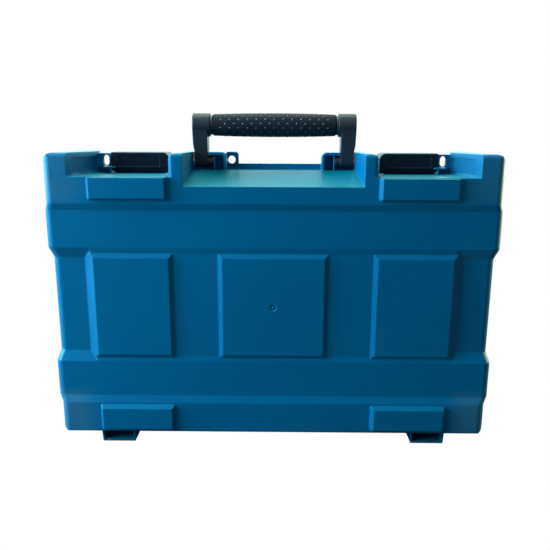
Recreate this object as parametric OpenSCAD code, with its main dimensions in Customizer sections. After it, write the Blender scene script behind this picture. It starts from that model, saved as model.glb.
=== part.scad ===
// Hard tool case standing on its hinge edge: a deep base half, a shallower lid half,
// two draw-over latches, a fold-down carrying handle, and a fitted tray inside.
// X runs along the case, +Y goes from the base half to the lid half, +Z is up.
// The origin is the middle of the footprint, on the surface that the feet stand on.

/* [Case] */
// Width over the two raised bands (mm)
case_w = 432.6; // [400:0.2:520]
// Height of the case body, without feet and handle (mm)
case_h = 278; // [250:1:330]
// Depth of the base half, from its outer face to the joint between the halves (mm)
base_d = 66; // [60:1:90]
// Depth of the lid half, from its outer face to the joint between the halves (mm)
lid_d = 46; // [40:1:70]
// Wall thickness of both halves (mm)
wall = 3; // [2.4:0.1:3.4]
// Radius of the upright outer edges (mm)
edge_r = 8; // [6:0.5:12]
// Gap between the two closed halves (mm)
joint_gap = 0.3; // [0.2:0.1:0.6]

/* [Face bands] */
// Height of the proud zone at the top (mm)
top_zone_h = 46.5; // [44:0.5:52]
// Height of the proud zone at the bottom (mm)
bottom_zone_h = 31.8; // [30:0.2:36]
// Height of each of the two flat bands (mm)
band_h = 35.8; // [30:0.2:40]
// How far a band lies back from the proud zones (mm)
band_recess = 2.5; // [1.5:0.1:3.5]
// How far the middle zone lies back beside the panels (mm)
mid_recess = 7.1; // [6:0.1:8]
// How far the middle zone lies back between the panels (mm)
web_recess = 3.7; // [3:0.1:5]
// How far the middle and bottom zones lie in from the bands at the sides (mm)
side_step = 3.3; // [2:0.1:5]
// How far the top zone stands out from the middle zone at the sides (mm)
top_step = 0.8; // [0.2:0.1:1.6]
// Distance from the face to the flat tops of the panels (mm)
panel_recess = 0.8; // [0:0.1:2]
// Half width of the centre panel's flat top (mm)
centre_panel_x = 49; // [40:0.5:54]
// Where each side panel's flat top starts, from the middle (mm)
panel_in_x = 100; // [96:0.5:110]
// Where each side panel's flat top ends, from the middle (mm)
panel_out_x = 172; // [160:0.5:176]
// Height of the pads that the case lies on (mm)
pad_h = 4; // [3:0.5:6]

/* [Top edge] */
// Depth of the two latch notches below the top edge (mm)
notch_h = 21.6; // [20:0.2:24]
// Where each latch notch starts, from the middle (mm)
notch_in_x = 97.4; // [95:0.2:98]
// Where each latch notch ends at the outer face, from the middle (mm)
notch_out_x = 190.7; // [186:0.1:194]
// Where each latch notch ends at the joint, from the middle (mm)
notch_joint_x = 178.8; // [177:0.1:182]
// Half width of the handle pocket at the outer face (mm)
pocket_x = 83.7; // [83:0.1:86]
// Depth of the handle pocket at the outer face (mm)
pocket_h = 30.3; // [29:0.1:33]
// Depth of the handle pocket under the handle's pivot (mm)
pocket_back_h = 17.8; // [17.6:0.1:19]
// Depth of the rim behind the handle (mm)
rim_h = 11.9; // [11:0.1:14]

/* [Handle] */
// Width over the handle's two hubs (mm)
handle_w = 161.1; // [159:0.1:162.6]
// Width of each handle arm (mm)
arm_w = 13.3; // [12:0.1:14]
// Diameter of the two hubs (mm)
hub_d = 22.4; // [21:0.1:23]
// Length of the soft grip (mm)
grip_l = 122.4; // [112:0.2:123]
// Diameter of the soft grip at its ends (mm)
grip_d = 21.4; // [20:0.1:22]
// How much fatter the grip is at its middle (mm)
grip_bulge = 2.2; // [0:0.1:2.4]
// Diameter of the core that carries the grip (mm)
core_d = 12; // [10:0.5:14]
// Distance from the pivot to the middle of the grip (mm)
handle_reach = 35; // [34:0.5:40]
// Height of the pivot below the top edge (mm)
pivot_drop = 9; // [8.5:0.1:9.5]
// Distance of the pivot from the base's outer face (mm)
pivot_depth = 57; // [56:0.5:58]
// Diameter of the two handle pins (mm)
handle_pin_d = 5; // [4:0.1:6]

/* [Latches] */
// Width of each latch (mm)
latch_w = 58.2; // [50:0.1:58.6]
// Distance of each latch's centre from the middle (mm)
latch_x = 135.1; // [134.6:0.1:135.4]
// Height of a latch's front (mm)
latch_h = 20.4; // [18:0.1:20.8]
// Thickness of a latch's front and top (mm)
latch_t = 3.4; // [2.8:0.1:3.6]
// How far a latch reaches over the base half (mm)
latch_reach = 10; // [9:0.5:11]
// Distance of a latch's pin behind the joint (mm)
latch_pin_back = 18; // [17:0.5:20]
// Diameter of the latch pins (mm)
latch_pin_d = 3; // [2.5:0.1:3.5]

/* [Hinges] */
// Distance of each hinge's centre from the middle (mm)
hinge_x = 110; // [95:1:118]
// Length of each hinge (mm)
hinge_l = 50; // [44:1:56]
// Diameter of the hinge knuckles (mm)
knuckle_d = 10; // [9:0.2:10.4]
// Diameter of the hinge pins (mm)
hinge_pin_d = 4; // [3:0.1:4.6]
// Distance of the hinge axis below the case body (mm)
hinge_drop = 7; // [6.6:0.1:7.6]

/* [Feet] */
// Height of the feet under the hinge edge (mm)
foot_h = 15; // [14.5:0.5:20]
// Length of each foot along the case (mm)
foot_l = 34.8; // [28:0.2:40]
// Distance of each foot's outer end from the middle (mm)
foot_out_x = 176.5; // [165:0.5:185]
// Wall thickness of a foot (mm)
foot_t = 2; // [1.8:0.1:2.4]

/* [Padlock holes] */
// Diameter of the round hole in the centre tabs (mm)
tab_hole_d = 7.8; // [6:0.1:8.4]
// Distance of the round hole from the middle (mm)
tab_x = 43.2; // [39:0.1:43.4]
// Width of the oval holes beside the latches (mm)
eye_w = 7; // [5:0.1:7.4]
// Height of the oval holes beside the latches (mm)
eye_h = 10.6; // [8:0.1:11]

/* [Inside] */
// Thickness of the tray (mm)
tray_t = 2; // [1.5:0.1:2.5]
// Distance of the tray's deck from the base's outer face (mm)
deck_depth = 56; // [54:0.5:57]
// Thickness of the foam in the lid (mm)
foam_t = 12; // [8:0.5:14]
// Width of the accessory bin (mm)
bin_w = 132; // [110:1:134]
// Height of the accessory bin (mm)
bin_h = 92; // [70:1:96]

/* [Hidden] */

teal = [0.06, 0.38, 0.52];
near_black = [0.10, 0.13, 0.18];
dark_grey = [0.20, 0.21, 0.23];
steel = [0.70, 0.71, 0.73];
foam_grey = [0.32, 0.33, 0.35];

// Clearances, on the radius or between two faces
run_gap = 0.06;
seat_gap = 0.02;
slack = 0.3;
// Overrun of a cutting shape, and sink of an added shape into its wall
over = 1;
sink = 0.8;
arc_steps = 6;

half_w = case_w / 2;
end_half_w = half_w - side_step;
top_half_w = end_half_w + top_step;
total_d = base_d + lid_d + 2 * pad_h;
face_y = -total_d / 2 + pad_h;
joint_y = face_y + base_d;
top_z = foot_h + case_h;

// Heights of the bands, from the bottom of the case body
chamfer_h = 7.3;
deep_chamfer_h = 10.2;
low_band_z = bottom_zone_h + chamfer_h;
mid_z0 = low_band_z + band_h + deep_chamfer_h;
high_band_top = case_h - top_zone_h - chamfer_h + 1;
mid_z1 = high_band_top - band_h - deep_chamfer_h;

// Panels in the middle zone
panel_z0 = mid_z0 - 2.5;
panel_z1 = mid_z1 + 0.5;
panel_bevel = 4.3;
panel_back = 14;

pivot_y = face_y + pivot_depth;
pivot_z = top_z - pivot_drop;
grip_z = pivot_z + handle_reach;
hub_x = handle_w / 2;
arm_step = 1.3;
arm_in_x = hub_x - arm_step - arm_w;
arm_out_x = arm_in_x + arm_w;
groove_w = 2;
hub_in_x = grip_l / 2 + groove_w;
arm_end_r = 6.4;
bracket_in_x = 47.5;
boss_in_x = 60.7;
boss_r = 5.5;
rib_t = 1.4;
bracket_out_x = arm_in_x - slack;
pocket_back_x = arm_out_x + arm_step;
pocket_back_y = pivot_depth - 6;
pin_in_x = boss_in_x - slack - rib_t;
pin_out_x = pocket_back_x + 8;

latch_in_x = latch_x - latch_w / 2;
latch_out_x = latch_x + latch_w / 2;
latch_pin_y = joint_y + latch_pin_back;
latch_pin_z = top_z - 9;
latch_top_z = top_z - 0.9;
latch_front_y = joint_y - latch_reach;
barrel_r = 5.2;
ear_out_x = 171.5;
ear_in_x = latch_in_x - 6.5;
eye_ear_in_x = latch_out_x + 0.9;
eye_ear_out_x = notch_joint_x + 1;
eye_ear_t = 3.2;
eye_x = eye_ear_in_x + 6.25;
ear_foot_t = 1.5;
ear_foot_z = top_z - 16.2;
eye_z = top_z - 8.8;

hinge_y = joint_y;
hinge_z = foot_h - hinge_drop;
knuckle_gap = 0.4;
knuckle_l = 12;

tab_end_w = 6.8;
tab_t = 3.4;
tab_top_z = top_z - 0.2;
tab_hole_z = top_z - 8;

deck_y = face_y + deck_depth;
tray_out_x = end_half_w - wall - 2;
tray_z0 = foot_h + wall + 2;
tray_z1 = top_z - pocket_h - wall - 3;
tray_floor_y = face_y + mid_recess + wall + 4;
bin_x0 = 52;
bin_x1 = bin_x0 + bin_w;
bin_z0 = tray_z0 + 8;
bin_z1 = bin_z0 + bin_h;
cover_t = 2;
cover_lap = 4;
rail_w = 3;
screw_x = [-196, 196];
screw_z = [tray_z0 + 6, tray_z1 - 6];

foam_y1 = face_y + total_d - 2 * pad_h - mid_recess - wall;
foam_y0 = foam_y1 - foam_t;
foam_x = end_half_w - wall - 5;
foam_z0 = foot_h + wall + 6;
foam_z1 = top_z - pocket_h - wall - 5;
clip_d = 5;
clip_x = [-foam_x + 14, foam_x - 14];
clip_z = [foam_z0 + 78, foam_z1 - 78];

// Corner p of an outline, rounded to radius r between its neighbours a and b
function unit(v) = v / norm(v);
function arc_corner(a, p, b, r) =
    let (u = unit(a - p))
    let (w = unit(b - p))
    let (half = acos(u * w) / 2)
    let (centre = p + unit(u + w) * r / sin(half))
    let (from = p + u * r / tan(half) - centre)
    let (to = p + w * r / tan(half) - centre)
    let (turn = sign(cross([from.x, from.y], [to.x, to.y])))
    [for (i = [0 : arc_steps])
        let (t = turn * (180 - 2 * half) * i / arc_steps)
        centre + [from.x * cos(t) - from.y * sin(t), from.x * sin(t) + from.y * cos(t)]];

// Outline through points [x, y, radius]; a radius of 0 keeps the corner sharp
function rounded(points) =
    let (n = len(points))
    [for (i = [0 : n - 1])
        let (p = [points[i].x, points[i].y])
        let (a = [points[(i + n - 1) % n].x, points[(i + n - 1) % n].y])
        let (b = [points[(i + 1) % n].x, points[(i + 1) % n].y])
        each (points[i].z > 0 ? arc_corner(a, p, b, points[i].z) : [p])];

// A flat outline in X and Z, carried along +Y
module along_y(length) {
    translate([0, length, 0])
        rotate([90, 0, 0])
            linear_extrude(length)
                children();
}

// A flat outline in Y and Z, carried along +X
module along_x(length) {
    rotate([90, 0, 90])
        linear_extrude(length)
            children();
}

// A cylinder along +X
module rod_x(d, length) {
    rotate([0, 90, 0])
        cylinder(d = d, h = length, $fn = 48);
}

// Children on both sides of the middle
module both_sides() {
    children();
    mirror([1, 0, 0])
        children();
}

// The half shell modules use a frame of their own: x as in the case, y from the outer
// face to the joint, z from the bottom of the case body.

// Heights at which the outline of a half bends, each with its half width and its recess
function bends() = [
    [-2 * over, end_half_w, 0],
    [bottom_zone_h, end_half_w, 0],
    [low_band_z, half_w, band_recess],
    [low_band_z + band_h, half_w, band_recess],
    [mid_z0, end_half_w, mid_recess],
    [mid_z1, end_half_w, mid_recess],
    [high_band_top - band_h, half_w, band_recess],
    [high_band_top, half_w, band_recess],
    [case_h - top_zone_h, top_half_w, 0],
    [case_h + 2 * over, top_half_w, 0]
];

// Block that keeps what lies inside one facet of the rounded upright edge on the +X side.
// turn is the facet's angle from the front face; each facet bends a little lower than the
// one before it, so that no more than three planes meet in a point.
module edge_facet(turn) {
    far = 300;
    lift = 0.6 - turn / 60;
    rotate([0, 0, turn - 90])
        translate([0, -far, 0])
            along_y(2 * far + 100)
                polygon(concat(
                    [[-far - 100, case_h + 3 * over], [-far - 100, -2 * over]],
                    [for (b = bends())
                        [(b.y - edge_r) * sin(turn) - (b.z + edge_r) * cos(turn) + edge_r,
                            b.x + lift]]
                ));
}

// Five facets that round the upright edge on the +X side
module rounded_edge() {
    intersection() {
        edge_facet(15);
        edge_facet(30);
        edge_facet(45);
        edge_facet(60);
        edge_facet(75);
    }
}

// Side view of a half: distance from the face at each height, less an inset all round
module face_profile(depth, recess, inset) {
    drop = inset > 0 ? 1 : 0;
    mid0 = mid_z0 - (mid_recess - recess) * 1.2;
    mid1 = mid_z1 + (mid_recess - recess) * 1.2;
    low_r = inset > 0 ? 1 : 2.2;
    top_r = inset > 0 ? 1.5 : 4.5;
    polygon(rounded([
        [depth + over * drop, inset, 0],
        [inset, inset, low_r],
        [inset, bottom_zone_h, 0],
        [band_recess + inset, low_band_z, 0],
        [band_recess + inset, low_band_z + band_h, 0],
        [recess + inset, mid0, 0],
        [recess + inset, mid1, 0],
        [band_recess + inset, high_band_top - band_h, 0],
        [band_recess + inset, high_band_top, 0],
        [inset, case_h - top_zone_h, 0],
        [inset, case_h - inset, top_r],
        [depth + over * drop, case_h - inset, 0]
    ]));
}

// Front view of a half, with the bands standing out at the sides
module front_outline(inset) {
    band = half_w - inset;
    end = end_half_w - inset;
    top = top_half_w - inset;
    right = [
        [end, inset, 8.4 - inset],
        [end, bottom_zone_h, 0],
        [band, low_band_z, 0],
        [band, low_band_z + band_h, 0],
        [end, mid_z0, 0],
        [end, mid_z1, 0],
        [band, high_band_top - band_h, 0],
        [band, high_band_top, 0],
        [top, case_h - top_zone_h, 0],
        [top, case_h - inset, 10 - inset]
    ];
    n = len(right);
    left = [for (i = [0 : n - 1]) [-right[n - 1 - i].x, right[n - 1 - i].y, right[n - 1 - i].z]];
    polygon(rounded(concat(right, left)));
}

// Plan of one zone: a bar with its two outer corners rounded
module zone_plan(x, recess, depth, r) {
    polygon(rounded([
        [-x, depth, 0],
        [-x, recess, r],
        [x, recess, r],
        [x, depth, 0]
    ]));
}

// Raised block with sloping sides: flat top at y0, spread by the bevels at y1
module raised(x0, x1, z0, z1, y0, y1, bevels, back) {
    rise = y1 - y0;
    slope = [for (b = bevels) b * (back - y0) / rise];
    intersection() {
        translate([0, 0, z0 - 30])
            linear_extrude(z1 - z0 + 60)
                polygon([
                    [x0, y0], [x1, y0],
                    [x1 + slope[1], back], [x0 - slope[0], back]
                ]);
        translate([x0 - 30, 0, 0])
            along_x(x1 - x0 + 60)
                polygon([
                    [y0, z0], [y0, z1],
                    [back, z1 + slope[3]], [back, z0 - slope[2]]
                ]);
    }
}

// The three panels of the middle zone, shrunk by an inset for their hollow backs
module panels(inset) {
    y0 = panel_recess + inset;
    both_sides()
        raised(panel_in_x + inset, panel_out_x - inset, panel_z0 + inset, panel_z1 - inset,
            y0, y0 + web_recess - panel_recess,
            [panel_bevel, panel_bevel, panel_bevel, panel_bevel], panel_back);
    raised(-centre_panel_x + inset, centre_panel_x - inset, panel_z0 + inset, panel_z1 - inset,
        y0, y0 + web_recess - panel_recess,
        [panel_bevel, panel_bevel, panel_bevel, panel_bevel], panel_back);
}

// One pad: sloping sides, and corners rounded as seen from the front
module pad(x0, x1, z0, z1, inset, bevels) {
    corner_r = 4;
    foot_x0 = x0 - bevels[0];
    foot_x1 = x1 + bevels[1];
    foot_z0 = z0 - bevels[2];
    foot_z1 = z1 + bevels[3];
    intersection() {
        raised(x0, x1, z0, z1, -pad_h + inset, inset, bevels, wall + 3);
        translate([0, -pad_h - over, 0])
            along_y(pad_h + wall + 4 + over)
                polygon(rounded([
                    [foot_x0, foot_z0, corner_r], [foot_x0, foot_z1, corner_r / 2],
                    [foot_x1, foot_z1, corner_r / 2], [foot_x1, foot_z0, corner_r]
                ]));
    }
}

// The four pads that the half lies on
module pads(inset) {
    both_sides() {
        pad(panel_in_x + 0.8 + inset, panel_out_x - 1.2 - inset,
            case_h - top_zone_h + 5.1 + inset, case_h - notch_h - 0.7 - inset,
            inset, [3.2, 2.4, 2, 0.3]);
        pad(panel_in_x + 0.8 + inset, panel_out_x - 1.7 - inset,
            4.9 + inset, bottom_zone_h - 4.8 - inset,
            inset, [3.2, 2.4, 1.6, 3.2]);
    }
}

// Closed block of a half, before its notches and its hollow
module half_block(depth) {
    intersection() {
        union() {
            intersection() {
                translate([-half_w, 0, 0])
                    along_x(2 * half_w)
                        face_profile(depth, mid_recess, 0);
                rounded_edge();
                mirror([1, 0, 0])
                    rounded_edge();
            }
            translate([-panel_out_x - 3, 0, 0])
                along_x(2 * panel_out_x + 6)
                    face_profile(depth, web_recess, 0);
        }
        along_y(depth)
            front_outline(0);
    }
    panels(0);
    pads(0);
}

// Hollow of a half, open at the joint
module half_hollow(depth) {
    top_cut = case_h - notch_h - wall;
    block_in_x = notch_out_x + wall;
    difference() {
        intersection() {
            translate([-half_w, 0, 0])
                along_x(2 * half_w)
                    face_profile(depth, mid_recess, wall);
            translate([0, wall, 0])
                along_y(depth)
                    front_outline(wall);
            union() {
                translate([0, 0, wall])
                    linear_extrude(case_h)
                        zone_plan(half_w - wall, wall, depth + over, edge_r - wall);
            }
        }
        translate([-block_in_x, -over, top_cut])
            cube([2 * block_in_x, depth + 3 * over, notch_h + wall + over]);
        translate([-pocket_x - wall, -over, case_h - pocket_h - wall])
            cube([2 * (pocket_x + wall), depth + 3 * over, pocket_h]);
    }
    panels(wall);
    pads(wall);
}

// Latch notch on the +X side: a rounded cut, and a wedge that widens it to the face
module latch_notch(depth) {
    floor_z = case_h - notch_h;
    translate([0, -over - pad_h, 0])
        along_y(depth + pad_h + 2 * over)
            polygon(concat(
                [for (t = [0 : 15 : 90]) [notch_in_x - 8 + 8 * sin(t), case_h - 8 + 8 * cos(t)]],
                [for (t = [0 : 15 : 90]) [notch_in_x + 3 - 3 * cos(t), floor_z + 3 - 3 * sin(t)]],
                [[notch_joint_x, floor_z], [notch_joint_x, case_h + over], [notch_in_x - 8, case_h + over]]
            ));
    // Rounding of the upright edge between the notch's inner wall and the outer face
    r = 4.6;
    translate([0, 0, floor_z + 0.01])
        linear_extrude(notch_h + over)
            polygon(concat(
                [[notch_in_x - r, -over], [notch_in_x + over, -over], [notch_in_x + over, r]],
                [for (t = [0 : 15 : 90]) [notch_in_x - r + r * cos(t), r - r * sin(t)]]
            ));
    spread = (notch_out_x - notch_joint_x) / depth;
    translate([0, 0, floor_z])
        linear_extrude(notch_h + over)
            polygon([
                [notch_joint_x - over, -pad_h - over],
                [notch_out_x + spread * (pad_h + over), -pad_h - over],
                [notch_joint_x - spread * over, depth + over],
                [notch_joint_x - over, depth + over]
            ]);
    // Shallow sunk field in the corner block's inner wall, in a frame turned with the wall
    near_y = 9;
    near_x = notch_out_x - spread * near_y;
    lean = atan(spread);
    field_l = depth - near_y - 3;
    rotate([0, 0, lean])
        translate([
            near_x * cos(lean) + near_y * sin(lean) - over,
            near_y * cos(lean) - near_x * sin(lean),
            0
        ])
            along_x(over + 1.2)
                polygon(rounded([
                    [0, floor_z + 1.5, 1.5],
                    [0, case_h - 5.2, 4],
                    [field_l, case_h - 5.2, 2.5],
                    [field_l, floor_z + 1.5, 1.5]
                ]));
}

// Handle pocket: its side walls close in towards the joint, its floor follows floor_line
module handle_pocket(depth, narrow_y, floor_line) {
    intersection() {
        translate([0, 0, case_h - pocket_h - over])
            linear_extrude(pocket_h + 2 * over)
                polygon([
                    [-pocket_x - 0.4, -over], [pocket_x + 0.4, -over],
                    [pocket_back_x, narrow_y], [pocket_back_x, depth + over],
                    [-pocket_back_x, depth + over], [-pocket_back_x, narrow_y]
                ]);
        translate([-pocket_x - 2, 0, 0])
            along_x(2 * pocket_x + 4)
                polygon(concat(
                    [[depth + over, case_h + over], [-over, case_h + over]],
                    floor_line
                ));
    }
}

// Row of stiffening lips along the joint at both sides of a half
module rim_lips(depth) {
    lip_w = 2.2;
    lip_t = 3.8;
    both_sides()
        translate([end_half_w - wall, depth - lip_t - joint_gap / 2, 14])
            cube([wall + side_step + lip_w, lip_t, case_h - 34]);
}

// One hollow foot on the +X side, open at the outer face's end
module foot(length) {
    flare = 0.6;
    in_x = foot_out_x - foot_l;
    outer = rounded([
        [foot_out_x, sink, 0], [foot_out_x - 1.1, -foot_h, 1.4],
        [in_x, -foot_h, 1.4], [in_x - flare, sink, 0]
    ]);
    inner = [
        [foot_out_x - foot_t, sink + over], [foot_out_x - foot_t - 1.1, -foot_h + foot_t],
        [in_x + foot_t, -foot_h + foot_t], [in_x + foot_t - flare, sink + over]
    ];
    difference() {
        along_y(length)
            polygon(outer);
        translate([0, -over, 0])
            along_y(length - foot_t + over)
                intersection() {
                    polygon(inner);
                    translate([in_x - 8, -foot_h - over])
                        square([foot_l + 12, foot_h + over]);
                }
    }
}

// One hinge knuckle with its web up to the bottom wall; side is -1 for the base half
module knuckle(x0, length, side, bore_d) {
    web_y = side < 0 ? -knuckle_d / 2 : joint_gap;
    difference() {
        union() {
            translate([x0, hinge_y, hinge_z])
                rod_x(knuckle_d, length);
            translate([x0, hinge_y + web_y, hinge_z])
                cube([length, knuckle_d / 2 - joint_gap, hinge_drop + sink]);
        }
        translate([x0 - over, hinge_y, hinge_z])
            rod_x(bore_d, length + 2 * over);
    }
}

// Knuckles of both hinges that belong to the base half: the outer pair of each hinge
module base_knuckles() {
    both_sides()
        for (x = [hinge_x - hinge_l / 2, hinge_x + hinge_l / 2 - knuckle_l])
            knuckle(x, knuckle_l, -1, hinge_pin_d + 2 * seat_gap);
}

// Knuckles of both hinges that belong to the lid half: the long middle one of each
module lid_knuckles() {
    both_sides()
        knuckle(hinge_x - hinge_l / 2 + knuckle_l + knuckle_gap,
            hinge_l - 2 * knuckle_l - 2 * knuckle_gap, 1, hinge_pin_d + 2 * run_gap);
}

// Handle bracket on the +X side of the pocket: a roof and an inner wall in one bend,
// a back wall, and a thin rib that steadies the pin beside the arm's boss
module handle_bracket() {
    floor_z = top_z - pocket_back_h - 2.5;
    near_y = pivot_y - 7;
    deep = 15.2;
    back_t = 2.2;
    t = 2.6;
    difference() {
        translate([0, near_y, 0])
            along_y(deep)
                polygon(rounded([
                    [bracket_in_x, floor_z, 0],
                    [bracket_out_x, floor_z, 0],
                    [bracket_out_x, top_z - 0.2, 0.8],
                    [bracket_in_x, top_z - 0.2, 5]
                ]));
        difference() {
            translate([0, near_y - over, 0])
                along_y(deep - back_t + over)
                    polygon(rounded([
                        [bracket_in_x + t, top_z - pocket_back_h - 0.01, 0],
                        [bracket_out_x + over, top_z - pocket_back_h - 0.01, 0],
                        [bracket_out_x + over, top_z - 0.2 - t, 0],
                        [bracket_in_x + t, top_z - 0.2 - t, 2.6]
                    ]));
            translate([boss_in_x - slack - rib_t, pivot_y - 5, floor_z])
                cube([rib_t, deep, top_z - floor_z - 1]);
        }
    }
}

// Ear between a latch and the corner block, before its oval padlock hole is cut
module eye_ear(y0, length) {
    translate([0, y0, 0])
        along_y(length)
            polygon(rounded([
                [eye_ear_in_x, top_z - 15.6, 0.8],
                [eye_ear_out_x, top_z - 15.6, 0],
                [eye_ear_out_x, top_z - 2, 0],
                [eye_ear_in_x, top_z - 2, 1.5]
            ]));
}

// Foot of the base half's ear: an angled ledge round the latch's corner, on a small rib
module ear_foot() {
    front_y = latch_front_y - 6;
    back_y = latch_front_y - 2.6;
    translate([0, 0, ear_foot_z])
        linear_extrude(ear_foot_t)
            polygon([
                [eye_ear_in_x - 5.6, front_y], [eye_ear_in_x + 6.4, front_y],
                [eye_ear_in_x + 8.4, joint_y - joint_gap / 2],
                [eye_ear_in_x, joint_y - joint_gap / 2],
                [eye_ear_in_x, back_y], [eye_ear_in_x - 5.6, back_y]
            ]);
    translate([eye_ear_in_x - 2.1, front_y + 0.4, top_z - notch_h - sink])
        cube([1.4, 2.6, ear_foot_z - top_z + notch_h + sink + ear_foot_t / 2]);
}

// Oval padlock hole on the +X side
module eye_hole(y0, length) {
    straight = eye_h - eye_w;
    for (z = [-straight / 2, straight / 2])
        translate([eye_x, y0, eye_z + z])
            rotate([-90, 0, 0])
                cylinder(d = eye_w, h = length, $fn = 48);
    translate([eye_x - eye_w / 2, y0, eye_z - straight / 2])
        cube([eye_w, length, straight]);
}

// Padlock tab that runs out from the left handle bracket, with its round hole
module padlock_tab(y0) {
    difference() {
        translate([0, y0, 0])
            along_y(tab_t)
                polygon(rounded([
                    [-bracket_in_x - 2, top_z - rim_h - sink, 0],
                    [-tab_x + tab_end_w, top_z - rim_h - sink, 0],
                    [-tab_x + tab_end_w, tab_top_z, 3],
                    [-bracket_in_x - 2, tab_top_z, 3]
                ]));
        translate([-tab_x, y0 - over, tab_hole_z])
            rotate([-90, 0, 0])
                cylinder(d = tab_hole_d, h = tab_t + 2 * over, $fn = 48);
    }
}

// The base half, the side that the photograph shows
module base_shell() {
    floor_line = [
        [-over, case_h - pocket_h - 0.3],
        [pivot_depth - 9, case_h - pocket_back_h],
        [pivot_depth + 6.9, case_h - pocket_back_h],
        [pivot_depth + 7.1, case_h - rim_h],
        [base_d + over, case_h - rim_h]
    ];
    screw_boss_y = face_y + wall - sink;
    color(teal)
        difference() {
            union() {
                translate([0, face_y, foot_h])
                    difference() {
                        union() {
                            intersection() {
                                half_block(base_d);
                                translate([-half_w, -2 * pad_h, 0])
                                    cube([2 * half_w, base_d - joint_gap / 2 + 2 * pad_h, case_h]);
                            }
                            rim_lips(base_d);
                            both_sides()
                                translate([0, 9, 0])
                                    foot(31);
                        }
                        half_hollow(base_d);
                        both_sides()
                            latch_notch(base_d);
                        handle_pocket(base_d, pocket_back_y, floor_line);
                        // Moulding gate in the middle of the centre panel
                        translate([0, panel_recess - over, case_h - 146.5])
                            rotate([-90, 0, 0])
                                difference() {
                                    cylinder(d = 6.4, h = 0.7 + over, $fn = 48);
                                    cylinder(d = 2, h = 0.7 + over, $fn = 32);
                                }
                    }
                base_knuckles();
                both_sides() {
                    handle_bracket();
                    difference() {
                        union() {
                            eye_ear(joint_y - joint_gap / 2 - eye_ear_t, eye_ear_t);
                            ear_foot();
                        }
                        eye_hole(joint_y - 25, 30);
                    }
                    // Catch that the latch's front hooks over
                    translate([latch_in_x + 5, 0, 0])
                        along_x(latch_w - 10)
                            polygon([
                                [joint_y - 5, top_z - notch_h - sink],
                                [joint_y - 5, top_z - 15.2],
                                [joint_y - 5.8, top_z - 14.2],
                                [joint_y - 5.8, top_z - 12.4],
                                [joint_y - 4.8, top_z - 11.4],
                                [joint_y - 2, top_z - 11.4],
                                [joint_y - 2, top_z - notch_h - sink]
                            ]);
                }
                padlock_tab(joint_y - joint_gap / 2 - tab_t);
                // Bosses that the tray's screws go into
                for (x = screw_x, z = screw_z)
                    translate([x, screw_boss_y, z])
                        rotate([-90, 0, 0])
                            cylinder(d = 9, h = deck_y - screw_boss_y, $fn = 48);
            }
            both_sides()
                translate([pin_in_x - over, pivot_y, pivot_z])
                    rod_x(handle_pin_d + 2 * seat_gap, pin_out_x - pin_in_x + over);
            for (x = screw_x, z = screw_z)
                translate([x, deck_y - 14, z])
                    rotate([-90, 0, 0])
                        cylinder(d = 3 + 2 * seat_gap, h = 14 + over, $fn = 32);
        }
}

// The lid half, on the far side of the joint
module lid_shell() {
    floor_line = [
        [-over, case_h - rim_h - 4],
        [lid_d - 8, case_h - rim_h],
        [lid_d + over, case_h - rim_h]
    ];
    color(teal)
        difference() {
            union() {
                translate([0, -face_y, foot_h])
                    mirror([0, 1, 0])
                        difference() {
                            union() {
                                intersection() {
                                    half_block(lid_d);
                                    translate([-half_w, -2 * pad_h, 0])
                                        cube([2 * half_w, lid_d - joint_gap / 2 + 2 * pad_h, case_h]);
                                }
                                rim_lips(lid_d);
                                both_sides()
                                    translate([0, 9, 0])
                                        foot(26);
                            }
                            half_hollow(lid_d);
                            both_sides()
                                latch_notch(lid_d);
                            handle_pocket(lid_d, lid_d - 8, floor_line);
                        }
                lid_knuckles();
                both_sides() {
                    latch_ear(ear_in_x, latch_in_x - 0.4);
                    latch_ear(latch_out_x + 0.4, ear_out_x);
                    difference() {
                        union() {
                            eye_ear(joint_y + joint_gap / 2, eye_ear_t);
                            translate([eye_ear_in_x + 1, joint_y + joint_gap / 2, top_z - notch_h - sink])
                                cube([notch_joint_x - eye_ear_in_x, eye_ear_t, 8.5 + sink]);
                        }
                        eye_hole(joint_y - over, 30);
                    }
                }
                padlock_tab(joint_y + joint_gap / 2);
            }
            both_sides()
                translate([ear_in_x + 1.5, latch_pin_y, latch_pin_z])
                    rod_x(latch_pin_d + 2 * seat_gap, ear_out_x - ear_in_x);
        }
}

// One ear that carries an end of a latch pin, from x0 to x1
module latch_ear(x0, x1) {
    r = 5.5;
    translate([x0, latch_pin_y, latch_pin_z])
        rod_x(2 * r, x1 - x0);
    translate([x0, latch_pin_y - r, top_z - notch_h - sink])
        cube([x1 - x0, 2 * r, latch_pin_z - top_z + notch_h + sink]);
}

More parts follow.
